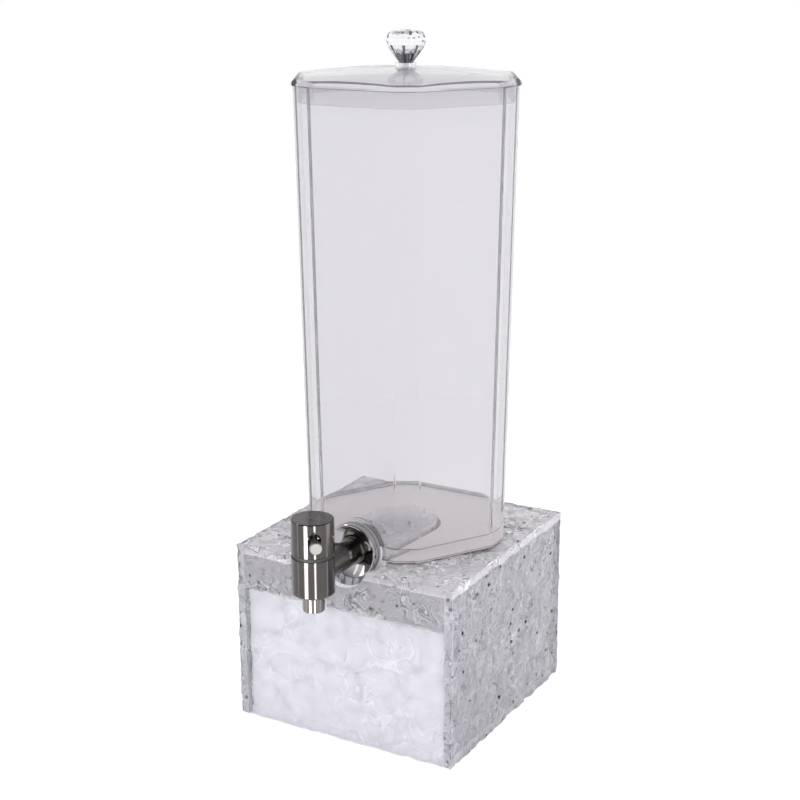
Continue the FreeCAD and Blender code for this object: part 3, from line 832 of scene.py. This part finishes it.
def container_edges(edge):
    """The long upright corners are round, and the level rims and feet a little less so."""
    a, b = (v.co for v in edge.verts)
    length, rise = (a - b).length, abs(a.z - b.z)
    if edge.calc_face_angle(0) < CREASE:
        return 0
    if rise > UPRIGHT_RISE:
        return 1.0
    level = rise < MM and length > RIM_LENGTH and min(a.z, b.z) > FOOT - FOOT_SNAP
    return RIM_ROUND if level else 0


container = moulded(
    "container_shell", "clear_container", container_edges,
    (polycarbonate, frosted, well_finish, floor_plastic),
)

# %% [markdown]
# The walls, the matt foot, the drain well below it and the top of the floor have a finish each. A
# face also keeps a number that says whether it is on the inside of the wall, for a pattern to use.

# %% Zones of the container
WALL, MATT_FOOT, WELL, FLOOR_FACE = range(4)
ZONE_DEPTH = 0.6 * MM


def container_zone(face):
    """The number of the material that a face of the container gets."""
    if face.center.z < FOOT - FOOT_SNAP:
        return WELL
    if face.center.z < FOOT + ZONE_DEPTH:
        return MATT_FOOT
    at_floor = abs(face.center.z - FLOOR_TOP) < ZONE_DEPTH
    return FLOOR_FACE if at_floor and face.normal.z > SQUARE_ON else WALL


def looks_inwards(face):
    """Whether a face is on the inside of the wall, above the floor."""
    inwards = face.normal.x * face.center.x + face.normal.y * (face.center.y - AXIS_Y) < 0
    return inwards and abs(face.normal.z) < SLANTING and face.center.z > FLOOR_TOP


inner = container.data.attributes.new("inner_wall", "FLOAT", "FACE")
for face in container.data.polygons:
    face.material_index = container_zone(face)
    inner.data[face.index].value = float(looks_inwards(face))
print("Faces inside the walls:", sum(1 for value in inner.data if value.value > 0))

# %% [markdown]
# Where wall and floor meet, a small inner radius throws the light aside and reads as a grey line.
# The rounded lower rim of the foot shows as a second, thinner one. Both are coarser than the real
# ones, and they are drawn inside the walls' own material: a clear solid has to keep one material
# on both sides of its wall, or light that comes in through one never seems to leave.

# %% Grey lines round floor and foot
CORNER_LINE, CORNER_LIFT, RIM_LIFT = 0.8 * MM, 0.4 * MM, 1.2 * MM
LINE_SHADE = "#8f8a8d"

tree = polycarbonate.node_tree
height = add(tree, "ShaderNodeSeparateXYZ", {0: add(tree, "ShaderNodeTexCoord").outputs["Object"]})
at_floor = add(tree, "ShaderNodeMath", {
    0: height.outputs["Z"], 1: FLOOR_TOP + CORNER_LIFT, 2: CORNER_LINE,
}, operation="COMPARE")
is_inner = add(tree, "ShaderNodeAttribute", attribute_name="inner_wall")
corner = add(tree, "ShaderNodeMath", {
    0: at_floor.outputs[0], 1: is_inner.outputs["Fac"],
}, operation="MULTIPLY")
at_rim = add(tree, "ShaderNodeMath", {
    0: height.outputs["Z"], 1: FOOT + RIM_LIFT, 2: CORNER_LINE / 2,
}, operation="COMPARE")
lines = add(tree, "ShaderNodeMath", {
    0: corner.outputs[0], 1: at_rim.outputs[0],
}, operation="MAXIMUM")
lined = add(tree, "ShaderNodeMix", {
    0: lines.outputs[0], 6: srgb(WALL_TINT), 7: srgb(LINE_SHADE),
}, data_type="RGBA")
tree.links.new(lined.outputs[2], tree.nodes["Principled BSDF"].inputs["Base Color"])
settle(container, "container", "clear_polycarbonate", "container_shell")

# %% [markdown]
# ## Metals
#
# The tap is turned from stainless steel and brushed round its axis. Brushing leaves hair-fine
# grooves that run round the barrel, and they spread every reflection along it, which an anisotropic
# highlight gives: its tangent runs round the axis, and a quarter turn stands the streak upright.
# The flange and the small inner parts are polished, and the lever is blasted.

# %% Recipe for turned metal
GROOVE = 0.35 * MM  # real grooves are about 0.05 mm apart, too fine to show
GROOVE_DEPTH = 0.01 * MM
STAIN_WIDTH = 9 * MM
STREAK = 0.03  # a groove's width as a share of its length


def turned_metal(name, light, dark, roughness, axis, stretch):
    """Steel turned and brushed round an axis; stretch is how far its highlights are drawn out."""
    material, tree, shader = start_material(name, {
        "Metallic": 1.0, "Anisotropic": stretch, "Anisotropic Rotation": 0.25,
    })
    place = add(tree, "ShaderNodeTexCoord").outputs["Object"]
    along = {"Y": (STREAK, 1, STREAK), "Z": (STREAK, STREAK, 1)}[axis]
    run = add(tree, "ShaderNodeMapping", {"Vector": place, "Scale": along})
    lines = add(tree, "ShaderNodeTexNoise", {
        "Vector": run.outputs[0], "Scale": 1 / GROOVE, "Detail": 2.0,
    })
    cloud = add(tree, "ShaderNodeTexNoise", {
        "Vector": place, "Scale": 1 / STAIN_WIDTH, "Detail": 2.0,
    })
    both = add(tree, "ShaderNodeMix", {0: 0.5, 2: lines.outputs[0], 3: cloud.outputs[0]})
    colour = add(tree, "ShaderNodeMix", {
        0: both.outputs[0], 6: srgb(dark), 7: srgb(light),
    }, data_type="RGBA")
    rough = add(tree, "ShaderNodeMapRange", {
        "Value": cloud.outputs[0], "To Min": 0.8 * roughness, "To Max": 1.2 * roughness,
    })
    bump = add(tree, "ShaderNodeBump", {
        "Height": lines.outputs[0], "Strength": 0.2, "Distance": GROOVE_DEPTH,
    })
    tangent = add(tree, "ShaderNodeTangent", direction_type="RADIAL", axis=axis)
    tree.links.new(colour.outputs[2], shader.inputs["Base Color"])
    tree.links.new(rough.outputs[0], shader.inputs["Roughness"])
    tree.links.new(bump.outputs[0], shader.inputs["Normal"])
    tree.links.new(tangent.outputs[0], shader.inputs["Tangent"])
    return material


print("A groove every", GROOVE / MM, "mm")

# %% Metals
# Brushed stainless: a warm dark grey that turns white where a lamp strikes it.
brushed_upright = turned_metal(
    "brushed_stainless_upright", "#625e5d", "#504c4b", roughness=0.15, axis="Z", stretch=0.8,
)
brushed_level = turned_metal(
    "brushed_stainless_level", "#6c6867", "#585453", roughness=0.13, axis="Y", stretch=0.6,
)
# Polished stainless: mirror bright, with the faintest turning marks.
polished_steel = turned_metal(
    "polished_stainless_steel", "#b4b2b3", "#a3a1a2", roughness=0.06, axis="Y", stretch=0.2,
)
# Fine-turned stainless: the spout, a lighter grey than the barrel.
fine_turned = turned_metal(
    "fine_turned_stainless", "#8e8a89", "#7a7675", roughness=0.07, axis="Z", stretch=0.7,
)
# Bead-blasted stainless: the lever and its round head, grey and soft so that they do not dazzle.
blasted = turned_metal(
    "bead_blasted_stainless", "#7d7b79", "#72706e", roughness=0.45, axis="Z", stretch=0.0,
)
# Bright-plated steel: the knob's screw, which the stone's facets carry upwards as a pale core.
screw_steel = turned_metal(
    "bright_plated_steel", "#f4f4f6", "#eaeaee", roughness=0.20, axis="Z", stretch=0.0,
)
print("Metals: 6")

# %% [markdown]
# ## Rubbers and the guide
#
# Nitrile rubber is matt and nearly black, silicone milky, and the valve's guide is turned from
# white acetal. All three show a fine grain from the mould or the lathe.

# %% Soft materials
GRAIN_DEPTH = 0.05 * MM


def grained(name, light, dark, roughness, grain):
    """Matt plastic or rubber with a grain in its colour, its gloss and its surface."""
    material, tree, shader = start_material(name, {})
    place = add(tree, "ShaderNodeTexCoord").outputs["Object"]
    spots = add(tree, "ShaderNodeTexNoise", {"Vector": place, "Scale": 1 / grain, "Detail": 3.0})
    colour = add(tree, "ShaderNodeMix", {
        0: spots.outputs[0], 6: srgb(dark), 7: srgb(light),
    }, data_type="RGBA")
    rough = add(tree, "ShaderNodeMapRange", {
        "Value": spots.outputs[0], "To Min": 0.8 * roughness, "To Max": 1.2 * roughness,
    })
    bump = add(tree, "ShaderNodeBump", {
        "Height": spots.outputs[0], "Strength": 0.4, "Distance": GRAIN_DEPTH,
    })
    tree.links.new(colour.outputs[2], shader.inputs["Base Color"])
    tree.links.new(rough.outputs[0], shader.inputs["Roughness"])
    tree.links.new(bump.outputs[0], shader.inputs["Normal"])
    return material


# Nitrile rubber: matt black, so the groove and the washer read as thin dark lines.
black_rubber = grained("black_nitrile_rubber", "#2a2a2b", "#1b1b1c", 0.6, 1.2 * MM)
# Silicone: milky and soft, the pale ring between flange and wall.
silicone = grained("milky_silicone_rubber", "#8e8e91", "#7e7e82", 0.5, 2.0 * MM)
# Acetal: waxy white, hidden inside the barrel.
guide_plastic = grained("turned_white_acetal", "#dddcd6", "#cfcec8", 0.4, 1.5 * MM)
print("Soft materials: 3")

# %% [markdown]
# ## The solids that stay
#
# Most of the tap, the lid and the knob are right as their CAD solids are. Each takes the finish of
# its material slot, unless it has one of its own: the shank and the nut are brushed along the
# other axis, the spout has finer grooves, the bottom plate is opal like the liner, and so on.

# %% Dress the CAD nodes
FINISHES = {
    "ice_acrylic": ice_side, "clear_acrylic": plain_acrylic, "opal_sheet": opal,
    "clear_polycarbonate": polycarbonate, "crystal": crystal, "silicone": silicone,
    "black_rubber": black_rubber, "brushed_stainless": brushed_upright,
    "polished_stainless": polished_steel, "guide_plastic": guide_plastic,
}
OWN_FINISH = {
    "tap_shank": brushed_level, "lock_nut": brushed_level, "outlet_nozzle": fine_turned,
    "lever_head": blasted, "tap_lever": blasted, "lever_pivot_pin": brushed_upright,
    "base_bottom_plate": opal, "lid_shell": lid_plastic, "knob_screw": screw_steel,
}
for part in frame["record"]["subparts"]:
    dress(nodes[part["node"]], OWN_FINISH.get(part["node"], FINISHES[part["material_slot"]]))

# %% [markdown]
# ## Closing spring
#
# The coil spring gets shorter as the lever lifts the stem: its upper end stays under the guide and
# its lower end follows the stem's collar. Here it is a welded copy of its CAD solid in polished
# steel, with a mesh of its own.

spring = welded_copy("valve_spring", "closing_spring")
dress(spring, polished_steel)
settle(spring, "container", "polished_stainless", "valve_spring")
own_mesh(spring)

# %% [markdown]
# ## Knob
#
# A cut stone shows a dark line wherever two of its long lower facets meet, because the edge sends
# light away. The angle round the knob's axis tells how near a point is to such an edge.

# %% Facet edges of the knob
KNOB_SIDES = 8
EDGE_SHARE = 0.22  # of half a facet: wider than the real hair line, so that it shows
LOWER_FACETS = 13.5 * MM
EDGE_SHADE = "#3c3a40"

tree = crystal.node_tree
spot = add(tree, "ShaderNodeSeparateXYZ", {0: add(tree, "ShaderNodeTexCoord").outputs["Object"]})
back = add(tree, "ShaderNodeMath", {0: spot.outputs["Y"], 1: AXIS_Y}, operation="SUBTRACT")
heading = add(tree, "ShaderNodeMath", {
    0: spot.outputs["X"], 1: back.outputs[0],
}, operation="ARCTAN2")
half_facet = math.pi / KNOB_SIDES
across = add(tree, "ShaderNodeMath", {0: heading.outputs[0], 1: half_facet}, operation="PINGPONG")
near = add(tree, "ShaderNodeMath", {
    0: across.outputs[0], 1: (1 - EDGE_SHARE) * half_facet,
}, operation="GREATER_THAN")
lower = add(tree, "ShaderNodeMath", {
    0: spot.outputs["Z"], 1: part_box("lid_knob")[0].z + LOWER_FACETS,
}, operation="LESS_THAN")
edge = add(tree, "ShaderNodeMath", {0: near.outputs[0], 1: lower.outputs[0]}, operation="MULTIPLY")
cut = add(tree, "ShaderNodeMix", {
    0: edge.outputs[0], 6: srgb(KNOB_TINT), 7: srgb(EDGE_SHADE),
}, data_type="RGBA")
tree.links.new(cut.outputs[2], tree.nodes["Principled BSDF"].inputs["Base Color"])
print("Facet edges:", KNOB_SIDES)
